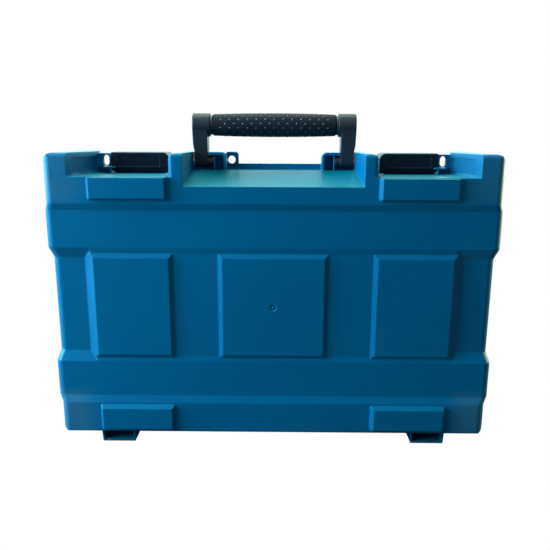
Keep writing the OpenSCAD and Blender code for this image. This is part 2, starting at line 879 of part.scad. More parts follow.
// Latch on the +X side: barrel on its pin, top plate, and the front that hooks down
module latch() {
    corner_r = 6.5;
    y0 = latch_front_y;
    y1 = latch_pin_y + barrel_r;
    front_z = latch_top_z - latch_h;
    under_z = latch_top_z - latch_t;
    cheek = 2.4;
    difference() {
        union() {
            translate([latch_in_x, 0, 0])
                along_x(latch_w)
                    polygon(rounded([
                        [y0 + 1.2, front_z, 0.8],
                        [y0, front_z + 5.6, 0],
                        [y0, latch_top_z, 1.6],
                        [y1, latch_top_z, 2.5],
                        [y1, latch_pin_z, 0],
                        [latch_pin_y - 2, under_z, 0],
                        [y0 + latch_t + 1.5, under_z, 1.2],
                        [y0 + latch_t, front_z, 0.8]
                    ]));
            for (x = [latch_in_x, latch_out_x - cheek])
                translate([x, 0, 0])
                    along_x(cheek)
                        polygon([
                            [y0 + 2, front_z + 2],
                            [y0 + 1, latch_top_z - 1],
                            [latch_pin_y, latch_top_z - 1],
                            [latch_pin_y, latch_pin_z - 3],
                            [y0 + 6, front_z + 5]
                        ]);
            translate([latch_in_x, latch_pin_y, latch_pin_z])
                rod_x(2 * barrel_r, latch_w);
        }
        translate([latch_in_x - over, latch_pin_y, latch_pin_z])
            rod_x(latch_pin_d + 2 * run_gap, latch_w + 2 * over);
        // Cut lower corner at the outer end
        translate([0, y0 - over, 0])
            along_y(barrel_r + over)
                polygon([
                    [latch_out_x - 4, front_z - over], [latch_out_x - 4, front_z],
                    [latch_out_x, front_z + 4], [latch_out_x + over, front_z + 4],
                    [latch_out_x + over, front_z - over]
                ]);
        // Rounded upper corner at the end towards the handle
        translate([0, y0 - over, 0])
            along_y(y1 - y0 + 2 * over)
                polygon(concat(
                    [[latch_in_x - over, latch_top_z + over]],
                    [[latch_in_x - over, latch_top_z - corner_r]],
                    [for (t = [0 : 15 : 90])
                        [latch_in_x + corner_r - corner_r * cos(t),
                            latch_top_z - corner_r + corner_r * sin(t)]],
                    [[latch_in_x + corner_r, latch_top_z + over]]
                ));
        // Shallow recess in the front, with a rounded upper inner corner
        translate([0, y0 - over, 0])
            along_y(1 + over)
                polygon(rounded([
                    [latch_in_x + 9.5, front_z + 6.2, 1],
                    [latch_out_x - 7, front_z + 6.2, 1],
                    [latch_out_x - 7, latch_top_z - 2.6, 1],
                    [latch_in_x + 9.5, latch_top_z - 2.6, 5]
                ]));
    }
}

module latch_left() {
    color(near_black)
        mirror([1, 0, 0])
            latch();
}

module latch_right() {
    color(near_black)
        latch();
}

// Pin of the latch on the +X side
module latch_pin() {
    color(steel)
        translate([ear_in_x + 1.7, latch_pin_y, latch_pin_z])
            rod_x(latch_pin_d, ear_out_x - ear_in_x - 2);
}

module latch_pin_left() {
    mirror([1, 0, 0])
        latch_pin();
}

module latch_pin_right() {
    latch_pin();
}

// Pin of the hinge on the +X side
module hinge_pin() {
    color(steel)
        translate([hinge_x - hinge_l / 2 + 0.5, hinge_y, hinge_z])
            rod_x(hinge_pin_d, hinge_l - 1);
}

module hinge_pin_left() {
    mirror([1, 0, 0])
        hinge_pin();
}

module hinge_pin_right() {
    hinge_pin();
}

// Outline of an arm in Y and Z: a small round end at the pivot, a large one at the grip
module arm_side() {
    r0 = arm_end_r;
    r1 = hub_d / 2 - 0.6;
    lean = asin((r1 - r0) / handle_reach);
    polygon(concat(
        [for (t = [180 + lean : (180 - 2 * lean) / 12 : 360 - lean + 0.01])
            [pivot_y + r0 * cos(t), pivot_z + r0 * sin(t)]],
        [for (t = [-lean : (180 + 2 * lean) / 16 : 180 + lean + 0.01])
            [pivot_y + r1 * cos(t), grip_z + r1 * sin(t)]]
    ));
}

// Arm on the +X side: the blade, and the hub that the grip's core sits in
module handle_arm() {
    hub_r = hub_d / 2;
    hub_l = hub_x - hub_in_x;
    difference() {
        union() {
            translate([arm_in_x, 0, 0])
                along_x(arm_w)
                    arm_side();
            // Above the case the arm widens until it is flush with its hub
            intersection() {
                translate([arm_in_x, 0, 0])
                    along_x(arm_w + arm_step)
                        arm_side();
                translate([0, pivot_y - hub_d, 0])
                    along_y(2 * hub_d)
                        polygon([
                            [arm_in_x, top_z + 1.6], [arm_out_x + 0.2, top_z + 1.6],
                            [hub_x - 0.6, top_z + 5.4], [hub_x - 0.3, top_z + 7.6],
                            [hub_x, grip_z - 4], [hub_x, grip_z + hub_r],
                            [arm_in_x, grip_z + hub_r]
                        ]);
            }
            translate([boss_in_x, pivot_y, pivot_z])
                rod_x(2 * boss_r, arm_in_x - boss_in_x + over);
            translate([hub_in_x, pivot_y, grip_z])
                rotate([0, 90, 0])
                    rotate_extrude($fn = 64)
                        polygon(rounded([
                            [0, 0, 0], [hub_r, 0, 0.8],
                            [hub_r, hub_l, 1.4], [0, hub_l, 0]
                        ]));
        }
        translate([hub_in_x - over, pivot_y, grip_z])
            rod_x(core_d + 2 * seat_gap, 9 + over);
        translate([boss_in_x - over, pivot_y, pivot_z])
            rod_x(handle_pin_d + 2 * run_gap, arm_out_x - boss_in_x + 2 * over);
    }
}

module handle_arm_left() {
    color(near_black)
        mirror([1, 0, 0])
            handle_arm();
}

module handle_arm_right() {
    color(near_black)
        handle_arm();
}

// Core of the grip, with a collar in each groove between grip and hub
module handle_core() {
    reach = hub_in_x + 8.6;
    collar_r = hub_d / 2 - 1.8;
    color(dark_grey)
        translate([0, pivot_y, grip_z]) {
            translate([-reach, 0, 0])
                rod_x(core_d, 2 * reach);
            both_sides()
                translate([grip_l / 2 + 0.1, 0, 0])
                    rod_x(2 * collar_r, groove_w - 0.2);
        }
}

// Soft sleeve round the core, a little fatter in the middle
module handle_grip() {
    r = grip_d / 2;
    half_l = grip_l / 2;
    color(near_black)
        translate([0, pivot_y, grip_z])
            rotate([0, 90, 0])
                rotate_extrude($fn = 72)
                    polygon(concat(
                        [[core_d / 2 + seat_gap, -half_l], [r - 1, -half_l]],
                        [for (s = [-1 : 0.125 : 1])
                            [r + grip_bulge / 2 * (1 - s * s), s * (half_l - 1)]],
                        [[r - 1, half_l], [core_d / 2 + seat_gap, half_l]]
                    ));
}

// Pivot pin of the arm on the +X side
module handle_pin() {
    color(steel)
        translate([pin_in_x + 0.2, pivot_y, pivot_z])
            rod_x(handle_pin_d, pin_out_x - pin_in_x - 0.4);
}

module handle_pin_left() {
    mirror([1, 0, 0])
        handle_pin();
}

module handle_pin_right() {
    handle_pin();
}

// Tray recesses as [x0, x1, z0, z1]: tool body, grip, battery, charger, bits, accessory bin
function recesses() = [
    [-186, 34, tray_z1 - 86, tray_z1 - 8],
    [-64, 14, tray_z0 + 62, tray_z1 - 80],
    [-92, 34, tray_z0 + 8, tray_z0 + 66],
    [bin_x0, bin_x1, tray_z1 - 86, tray_z1 - 8],
    [-186, -104, tray_z0 + 24, tray_z1 - 100],
    [bin_x0, bin_x1, bin_z0, bin_z1]
];

// Vacuum-formed tray: a deck with recesses hanging from it
module base_tray() {
    color(dark_grey)
        difference() {
            union() {
                translate([-tray_out_x, deck_y, tray_z0])
                    cube([2 * tray_out_x, tray_t, tray_z1 - tray_z0]);
                for (r = recesses())
                    translate([r[0] - tray_t, tray_floor_y - tray_t, r[2] - tray_t])
                        cube([
                            r[1] - r[0] + 2 * tray_t,
                            deck_y - tray_floor_y + 2 * tray_t,
                            r[3] - r[2] + 2 * tray_t
                        ]);
                // Rails that the bin cover slides in
                for (z = [bin_z0 - cover_lap - rail_w, bin_z1 + cover_lap + slack])
                    translate([bin_x0 - 2, deck_y + tray_t, z])
                        cube([bin_w + 4, cover_t + 2 * slack + 1.2, rail_w - slack]);
                for (z = [bin_z0 - cover_lap - rail_w, bin_z1 + cover_lap - 1.6])
                    translate([bin_x0 - 2, deck_y + tray_t + cover_t + 2 * slack, z])
                        cube([bin_w + 4, 1.2, rail_w + 1.6]);
            }
            for (r = recesses())
                translate([r[0], tray_floor_y, r[2]])
                    cube([r[1] - r[0], deck_y - tray_floor_y + tray_t + over, r[3] - r[2]]);
            for (x = screw_x, z = screw_z)
                translate([x, deck_y - over, z])
                    rotate([-90, 0, 0])
                        cylinder(d = 3.4, h = tray_t + 2 * over, $fn = 32);
        }
}

// Four pan-head screws that hold the tray to the base half
module tray_screws() {
    color(steel)
        for (x = screw_x, z = screw_z)
            translate([x, deck_y, z])
                rotate([-90, 0, 0])
                    difference() {
                        union() {
                            translate([0, 0, -12])
                                cylinder(d = 3, h = 12 + tray_t + over, $fn = 32);
                            translate([0, 0, tray_t])
                                cylinder(d = 6.4, h = 2, $fn = 48);
                        }
                        for (a = [0, 90])
                            rotate([0, 0, a])
                                translate([-2, -0.4, tray_t + 0.9])
                                    cube([4, 0.8, 2]);
                    }
}

// Sliding cover of the accessory bin, with a ridge for the thumb
module bin_cover() {
    color(near_black) {
        translate([bin_x0, deck_y + tray_t + slack, bin_z0 - cover_lap])
            cube([bin_w, cover_t, bin_h + 2 * cover_lap]);
        for (i = [0 : 2])
            translate([bin_x0 + 6 + 4 * i, deck_y + tray_t + slack + cover_t - 0.2, bin_z0 + bin_h / 2 - 18])
                cube([1.6, 1.6, 36]);
    }
}

// Two loose dividers that stand in the accessory bin
module bin_dividers() {
    color(dark_grey)
        for (i = [1, 2])
            translate([bin_x0 + i * bin_w / 3, tray_floor_y + seat_gap, bin_z0 + slack / 2])
                cube([1.8, deck_y - tray_floor_y - 2, bin_h - slack]);
}

// Foam sheet in the lid, with a bevelled edge
module lid_foam() {
    bevel = 3;
    color(foam_grey)
        difference() {
            translate([0, 0, foam_z0])
                linear_extrude(foam_z1 - foam_z0)
                    polygon([
                        [-foam_x, foam_y1], [-foam_x, foam_y0 + bevel],
                        [-foam_x + bevel, foam_y0], [foam_x - bevel, foam_y0],
                        [foam_x, foam_y0 + bevel], [foam_x, foam_y1]
                    ]);
            for (x = clip_x, z = clip_z)
                translate([x, foam_y0 - over, z])
                    rotate([-90, 0, 0])
                        cylinder(d = clip_d + 2 * run_gap, h = foam_t + 2 * over, $fn = 32);
        }
}

// Four push clips that hold the foam: a flat head, and a stem down to the lid's wall
module foam_clips() {
    color(near_black)
        for (x = clip_x, z = clip_z)
            translate([x, foam_y0, z])
                rotate([-90, 0, 0]) {
                    translate([0, 0, -1.6])
                        cylinder(d = 12, h = 1.6, $fn = 48);
                    translate([0, 0, -sink])
                        cylinder(d = clip_d, h = foam_t + sink, $fn = 32);
                }
}

base_shell();
lid_shell();
hinge_pin_left();
hinge_pin_right();
latch_left();
latch_right();
latch_pin_left();
latch_pin_right();
handle_arm_left();
handle_arm_right();
handle_core();
handle_grip();
handle_pin_left();
handle_pin_right();
base_tray();
tray_screws();
bin_cover();
bin_dividers();
lid_foam();
foam_clips();
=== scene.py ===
"""Hard tool case on its hinge edge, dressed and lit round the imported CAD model.

Everything is in metres in the case's own frame: X runs along the case, +Y goes from
the base half to the lid half, +Z is up, and the origin is the middle of the footprint.
"""

import logging
import math
from dataclasses import dataclass, field
from enum import Enum

import bpy
import numpy as np
from mathutils import Matrix, Vector


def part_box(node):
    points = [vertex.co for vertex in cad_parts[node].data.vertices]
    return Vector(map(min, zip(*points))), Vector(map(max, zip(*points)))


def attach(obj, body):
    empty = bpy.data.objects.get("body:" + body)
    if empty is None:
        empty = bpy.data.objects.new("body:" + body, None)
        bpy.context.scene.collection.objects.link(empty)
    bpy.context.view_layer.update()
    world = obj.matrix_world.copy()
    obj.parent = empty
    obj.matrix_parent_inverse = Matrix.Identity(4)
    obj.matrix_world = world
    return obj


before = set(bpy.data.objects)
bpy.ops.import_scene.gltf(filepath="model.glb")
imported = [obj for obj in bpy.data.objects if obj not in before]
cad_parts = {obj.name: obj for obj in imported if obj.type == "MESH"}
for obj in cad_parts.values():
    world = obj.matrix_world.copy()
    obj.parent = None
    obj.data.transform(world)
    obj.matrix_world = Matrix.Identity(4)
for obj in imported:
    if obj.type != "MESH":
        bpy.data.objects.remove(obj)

log = logging.getLogger("tool_case")

MM = 0.001
Colour = tuple[float, float, float]
Point = tuple[float, float, float]
WHITE = (1.0, 1.0, 1.0)


def srgb(red: int, green: int, blue: int) -> Colour:
    """Turns a screen colour into the linear colour that shaders take.

    Args:
        red, green, blue: the colour's parts, from 0 to 255.

    Returns:
        The same colour as three linear numbers.
    """
    parts = np.array([red, green, blue]) / 255.0
    linear = np.where(parts <= 0.04045, parts / 12.92, ((parts + 0.055) / 1.055) ** 2.4)
    return tuple(float(v) for v in linear)


class Axis(Enum):
    """An axis of the case's own frame that a mask is measured along."""

    X = "X"
    Z = "Z"


class Wire:
    """An output socket that can be used in plain arithmetic."""

    def __init__(self, graph: "Graph", socket: bpy.types.NodeSocket) -> None:
        """Keeps the socket and the graph that its maths goes into."""
        self.graph = graph
        self.socket = socket

    def _maths(self, operation: str, *values: "Wire | float", clamp: bool = False) -> "Wire":
        """Adds one Math node.

        Args:
            operation: the node's operation.
            values: its inputs, in order.
            clamp: whether the result is kept between 0 and 1.

        Returns:
            The node's result.
        """
        return self.graph.node(
            "ShaderNodeMath",
            {"operation": operation, "use_clamp": clamp},
            dict(enumerate(values)),
        )

    def __add__(self, other: "Wire | float") -> "Wire":
        """Sum."""
        return self._maths("ADD", self, other)

    def __radd__(self, other: float) -> "Wire":
        """Sum with the number first."""
        return self._maths("ADD", other, self)

    def __sub__(self, other: "Wire | float") -> "Wire":
        """Difference."""
        return self._maths("SUBTRACT", self, other)

    def __rsub__(self, other: float) -> "Wire":
        """Difference with the number first."""
        return self._maths("SUBTRACT", other, self)

    def __mul__(self, other: "Wire | float") -> "Wire":
        """Product."""
        return self._maths("MULTIPLY", self, other)

    def __rmul__(self, other: float) -> "Wire":
        """Product with the number first."""
        return self._maths("MULTIPLY", other, self)

    def above(self, low: float, high: float) -> "Wire":
        """Smooth step: 0 under low, 1 over high.

        Args:
            low: where the step starts.
            high: where the step ends.

        Returns:
            The stepped value.
        """
        return self.graph.node(
            "ShaderNodeMapRange",
            {"interpolation_type": "SMOOTHSTEP"},
            {"Value": self, "From Min": low, "From Max": high},
        )

    def clipped(self) -> "Wire":
        """The value kept between 0 and 1."""
        return self._maths("ADD", self, 0.0, clamp=True)


class Graph:
    """The node tree of one material or of the world, filled by plain calls."""

    def __init__(self, owner: bpy.types.ID, output: str = "ShaderNodeOutputMaterial") -> None:
        """Empties the owner's node tree and puts the output node in.

        Args:
            owner: the material or world.
            output: the type of its output node.
        """
        owner.use_nodes = True
        self.owner = owner
        self.tree = owner.node_tree
        self.tree.nodes.clear()
        self.out = self.tree.nodes.new(output)

    def node(
        self,
        kind: str,
        settings: dict[str, object] | None = None,
        inputs: dict[str | int, object] | None = None,
        output: str | int = 0,
    ) -> Wire:
        """Adds a node, sets it up, then fills its sockets.

        Args:
            kind: the node's type.
            settings: its properties, set before its sockets are filled.
            inputs: values or wires by socket name or number.
            output: which output is returned.

        Returns:
            The output that was asked for.
        """
        made = self.tree.nodes.new(kind)
        for key, value in (settings or {}).items():
            setattr(made, key, value)
        for key, value in (inputs or {}).items():
            if isinstance(value, Wire):
                self.tree.links.new(value.socket, made.inputs[key])
            else:
                made.inputs[key].default_value = value
        return Wire(self, made.outputs[output])

    def place(self, scale: Point = (1.0, 1.0, 1.0)) -> Wire:
        """Object coordinates for a pattern.

        Args:
            scale: how much each axis is stretched.

        Returns:
            The coordinates.
        """
        raw = self.node("ShaderNodeTexCoord", output="Object")
        return self.node("ShaderNodeMapping", inputs={"Vector": raw, "Scale": scale})

    def noise(self, where: Wire, scale: float, detail: float = 2.0, rough: float = 0.5) -> Wire:
        """Soft random pattern with about scale blobs to the metre.

        Args:
            where: the coordinates.
            scale: blobs per metre.
            detail: octaves of finer pattern.
            rough: how strong the finer octaves are.

        Returns:
            The pattern, from 0 to 1.
        """
        return self.node(
            "ShaderNodeTexNoise",
            inputs={"Vector": where, "Scale": scale, "Detail": detail, "Roughness": rough},
        )

    def mix(self, factor: Wire | float, first: object, second: object) -> Wire:
        """Blend of two colours.

        Args:
            factor: 0 gives the first colour, 1 the second.
            first, second: colours or wires.

        Returns:
            The blended colour.
        """
        made = self.tree.nodes.new("ShaderNodeMix")
        made.data_type = "RGBA"
        for key, value in ((0, factor), (6, first), (7, second)):
            if isinstance(value, Wire):
                self.tree.links.new(value.socket, made.inputs[key])
            elif key == 0:
                made.inputs[key].default_value = value
            else:
                made.inputs[key].default_value = (*value, 1.0)
        return Wire(self, made.outputs[2])

    def soft_edges(self, radius: float) -> tuple[Wire, Wire]:
        """Normals that roll over the edges, and a mask that is 1 on the edges.

        The mask is one minus the dot product of the rolled normal and the true one.

        Args:
            radius: the radius of the rolled edge, in metres.

        Returns:
            The rolled normal and the edge mask.
        """
        rolled = self.node("ShaderNodeBevel", {"samples": 8}, {"Radius": radius})
        plain = self.node("ShaderNodeNewGeometry", output="Normal")
        same = self.node(
            "ShaderNodeVectorMath", {"operation": "DOT_PRODUCT"}, {0: rolled, 1: plain}, "Value"
        )
        return rolled, (1.0 - same).above(0.006, 0.11)

    def upward(self) -> Wire:
        """How much a face looks up when the case stands: the Z part of its own normal."""
        own = self.node("ShaderNodeTexCoord", output="Normal")
        return self.part(own, Axis.Z)

    def part(self, vector: Wire, axis: Axis) -> Wire:
        """One of a vector's three numbers."""
        return self.node("ShaderNodeSeparateXYZ", inputs={"Vector": vector}, output=axis.value)

    def beyond(self, where: Wire, axis: Axis, middle: float, step: tuple[float, float]) -> Wire:
        """Mask of what lies far from a middle plane: a step of the distance from it.

        Args:
            where: the coordinates.
            axis: the axis across the plane.
            middle: where the plane is on that axis.
            step: the distances at which the mask starts and is full.

        Returns:
            The mask.
        """
        offset = self.part(where, axis) - middle
        away = self.node("ShaderNodeMath", {"operation": "ABSOLUTE"}, {0: offset})
        return away.above(*step)

    def bump(self, height: Wire, distance: float, normal: Wire | None = None) -> Wire:
        """Normal bent by a height.

        Args:
            height: the height pattern.
            distance: how deep a height of 1 is, in metres.
            normal: the normal that is bent.

        Returns:
            The bent normal.
        """
        inputs = {"Height": height, "Distance": distance, "Strength": 1.0}
        if normal is not None:
            inputs["Normal"] = normal
        return self.node("ShaderNodeBump", inputs=inputs)

    def close(self, shader: Wire) -> None:
        """Joins a shader to the output node."""
        self.tree.links.new(shader.socket, self.out.inputs["Surface"])

    def surface(self, **sockets: object) -> bpy.types.Material:
        """Closes the graph with one Principled shader.

        Args:
            sockets: values or wires by socket name, with _ for a space.

        Returns:
            The finished material.
        """
        named = {key.replace("_", " "): value for key, value in sockets.items()}
        self.close(self.node("ShaderNodeBsdfPrincipled", inputs=named))
        return self.owner


def new_graph(name: str) -> Graph:
    """Starts an empty material of that name."""
    return Graph(bpy.data.materials.new(name))


@dataclass(frozen=True)
class MouldedPlastic:
    """Injection-moulded plastic: fine spark grain, soft cloudiness, scuffs, and painted edge
    highlight with rubbed wear.

    Faces that look up may carry painted light from above, and the outer ends of the case's top
    and bottom zones a painted reflection. The painted reflection starts at the first and is full
    at the second distance from the case's middle, in metres.
    """

    name: str
    colour: Colour
    cloud: Colour
    wear_and_edge_highlight: Colour
    roughness: float = 0.5
    grain_per_m: float = 2600.0
    grain_depth: float = 0.00004
    edge_radius: float = 0.0012
    scuffs: float = 0.3
    shine: float = 0.4
    shine_tint: Colour = WHITE
    painted_top_light: Colour | None = None
    painted_reflection: Colour | None = None
    reflection_sideways: tuple[float, float] = (0.168, 0.198)
    reflection_upright: tuple[float, float] = (0.088, 0.104)
    middle_height: float = 0.154

    def make(self) -> bpy.types.Material:
        """Builds the material."""
        g = new_graph(self.name)
        where = g.place()
        rolled, edge = g.soft_edges(self.edge_radius)
        clouds = g.noise(where, 9.0, 3.0).above(0.35, 0.7)
        grain = g.noise(where, self.grain_per_m, 2.0, 0.6)
        long_way = g.place(scale=(0.35, 1.0, 2.4))
        scratch = g.noise(long_way, 420.0, 4.0, 0.7).above(0.69, 0.76)
        patches = g.noise(where, 14.0, 2.0).above(0.52, 0.66)
        scuff = (scratch * patches * self.scuffs).clipped()
        # painted highlight along the edges, made patchy, with some rubbed wear; the scuffs above
        # are real wear
        edge_highlight_and_wear = (edge * (0.38 + g.noise(where, 160.0, 4.0).above(0.4, 0.7) * 0.6)).clipped()
        base = g.mix(clouds * 0.6, self.colour, self.cloud)
        # painted light from above: faces that look up are tinted lighter and greener
        if self.painted_top_light is not None:
            base = g.mix(g.upward().above(0.7, 0.99), base, self.painted_top_light)
        # painted reflection: the outer ends of the top and bottom zones are lightened and greyed,
        # in patches
        if self.painted_reflection is not None:
            ends = g.beyond(where, Axis.X, 0.0, self.reflection_sideways)
            zones = g.beyond(where, Axis.Z, self.middle_height, self.reflection_upright)
            reflection_patches = 0.45 + g.noise(where, 34.0, 3.0).above(0.35, 0.65) * 0.55
            base = g.mix(ends * zones * reflection_patches, base, self.painted_reflection)
        base = g.mix(scuff, base, self.wear_and_edge_highlight)
        base = g.mix(edge_highlight_and_wear, base, self.wear_and_edge_highlight)
        rough = self.roughness + (grain - 0.5) * 0.12 + scuff * 0.15 - edge_highlight_and_wear * 0.08
        return g.surface(
            Base_Color=base,
            Roughness=rough,
            Normal=g.bump(grain, self.grain_depth, rolled),
            Specular_IOR_Level=self.shine,
            Specular_Tint=(*self.shine_tint, 1.0),
        )


@dataclass(frozen=True)
class SoftRubber:
    """Soft over-moulded rubber with a dusty matt skin, or its polished raised dots."""

    name: str
    colour: Colour
    dust: Colour
    roughness: float = 0.6
    shine: float = 0.12

    def make(self) -> bpy.types.Material:
        """Builds the material."""
        g = new_graph(self.name)
        where = g.place()
        rolled, edge = g.soft_edges(0.0006)
        dusty = g.noise(where, 90.0, 4.0, 0.6).above(0.45, 0.75)
        grain = g.noise(where, 3800.0, 2.0)
        return g.surface(
            Base_Color=g.mix((dusty * 0.35 + edge * 0.2).clipped(), self.colour, self.dust),
            Roughness=self.roughness + (grain - 0.5) * 0.15,
            Normal=g.bump(grain, 0.00005, rolled),
            Specular_IOR_Level=self.shine,
        )


@dataclass(frozen=True)
class DrawnSteel:
    """Drawn steel rod: fine lines along X and a little staining."""

    name: str
    colour: Colour = (0.62, 0.62, 0.64)

    def make(self) -> bpy.types.Material:
        """Builds the material."""
        g = new_graph(self.name)
        lines = g.noise(g.place(scale=(0.02, 1.0, 1.0)), 5200.0, 3.0)
        stain = g.noise(g.place(), 220.0, 4.0).above(0.5, 0.8)
        return g.surface(
            Base_Color=g.mix(stain * 0.4, self.colour, tuple(c * 0.6 for c in self.colour)),
            Metallic=1.0,
            Roughness=0.28 + lines * 0.14 + stain * 0.12,
            Normal=g.bump(lines, 0.00002),
        )


@dataclass(frozen=True)
class OpenFoam:
    """Open-cell foam: small pores darkened by painted shade inside them."""

    name: str
    colour: Colour
    pore_shade: Colour

    def make(self) -> bpy.types.Material:
        """Builds the material."""
        g = new_graph(self.name)
        where = g.place()
        cells = g.node(
            "ShaderNodeTexVoronoi", {"feature": "F1"}, {"Vector": where, "Scale": 900.0}
        )
        # painted shade: the pores are darkened where shade falls inside them
        pore_shade_mask = 1.0 - cells.above(0.1, 0.55)
        mottle = g.noise(where, 60.0, 3.0).above(0.3, 0.7)
        tone = g.mix(mottle * 0.3, self.colour, tuple(c * 1.3 for c in self.colour))
        return g.surface(
            Base_Color=g.mix(pore_shade_mask * 0.7, tone, self.pore_shade),
            Roughness=0.95,
            Normal=g.bump(cells, 0.0004),
            Specular_IOR_Level=0.2,
        )


@dataclass(frozen=True)
class FormedSheet:
    """Vacuum-formed sheet: slight orange peel and a satin sheen."""

    name: str
    colour: Colour

    def make(self) -> bpy.types.Material:
        """Builds the material."""
        g = new_graph(self.name)
        where = g.place()
        rolled, edge = g.soft_edges(0.0016)
        peel = g.noise(where, 520.0, 3.0)
        fine = g.noise(where, 3000.0, 1.0)
        marks = g.noise(g.place(scale=(1.0, 1.0, 0.3)), 240.0, 5.0, 0.7).above(0.66, 0.78)
        pale = tuple(min(1.0, c * 1.9 + 0.01) for c in self.colour)
        return g.surface(
            Base_Color=g.mix((edge * 0.35 + marks * 0.25).clipped(), self.colour, pale),
            Roughness=0.46 + fine * 0.1 + marks * 0.12,
            Normal=g.bump(peel * 0.7 + fine * 0.3, 0.00008, rolled),
        )


def new_mesh(name: str, points: np.ndarray, *faces: np.ndarray) -> bpy.types.Object:
    """Makes a smooth-shaded mesh object at the origin.

    Args:
        name: the piece's name.
        points: one row of x, y, z for each vertex, in metres.
        faces: arrays with one row of vertex numbers for each face, triangles and
            quadrilaterals apart.

    Returns:
        The object, linked into the scene.
    """
    mesh = bpy.data.meshes.new(name)
    mesh.from_pydata(points.tolist(), [], [row for block in faces for row in block.tolist()])
    mesh.update()
    mesh.polygons.foreach_set("use_smooth", np.ones(len(mesh.polygons), bool))
    made = bpy.data.objects.new(name, mesh)
    bpy.context.scene.collection.objects.link(made)
    return made


def paint(nodes: list[str], material: bpy.types.Material) -> None:
    """Gives CAD nodes one material.

    Args:
        nodes: the CAD nodes' names.
        material: what they are made of.
    """
    for name in nodes:
        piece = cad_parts[name]
        for slot in piece.material_slots:
            slot.material = material
        log.info("dressed %s in %s", name, material.name)


@dataclass
class Shells:
    """The two moulded halves of the case, with their hinge knuckles, ears and feet."""

    nodes: list[str] = field(default_factory=lambda: ["base_shell", "lid_shell"])

    def dress(self) -> None:
        """Gives both halves the teal moulding."""
        finish = MouldedPlastic(
            "teal_moulding",
            colour=(0.0, 0.141, 0.365),
            cloud=(0.0, 0.16, 0.388),
            # colour of the scuffs and of the painted edge highlight
            wear_and_edge_highlight=(0.01, 0.38, 0.57),
            # painted light from above on faces that look up
            painted_top_light=(0.0, 0.212, 0.335),
            # painted reflection on the outer ends of the top and bottom zones
            painted_reflection=(0.03, 0.18, 0.385),
            roughness=0.42,
            edge_radius=0.0016,
            shine=0.35,
            shine_tint=(0.1, 0.7, 1.0),
        )
        paint(self.nodes, finish.make())


@dataclass
class Latches:
    """The two draw-over latches and their pins."""

    latches: list[str] = field(default_factory=lambda: ["latch_left", "latch_right"])
    pins: list[str] = field(default_factory=lambda: ["latch_pin_left", "latch_pin_right"])

    def dress(self, steel: bpy.types.Material) -> None:
        """Gives the latches their moulding and the pins their steel.

        Args:
            steel: the pins' material.
        """
        finish = MouldedPlastic(
            "latch_moulding",
            colour=srgb(6, 24, 40),
            cloud=srgb(10, 29, 45),
            # colour of the scuffs and of the painted edge highlight
            wear_and_edge_highlight=srgb(56, 72, 88),
            roughness=0.42,
            shine=0.1,
            edge_radius=0.001,
            scuffs=0.15,
        )
        paint(self.latches, finish.make())
        paint(self.pins, steel)


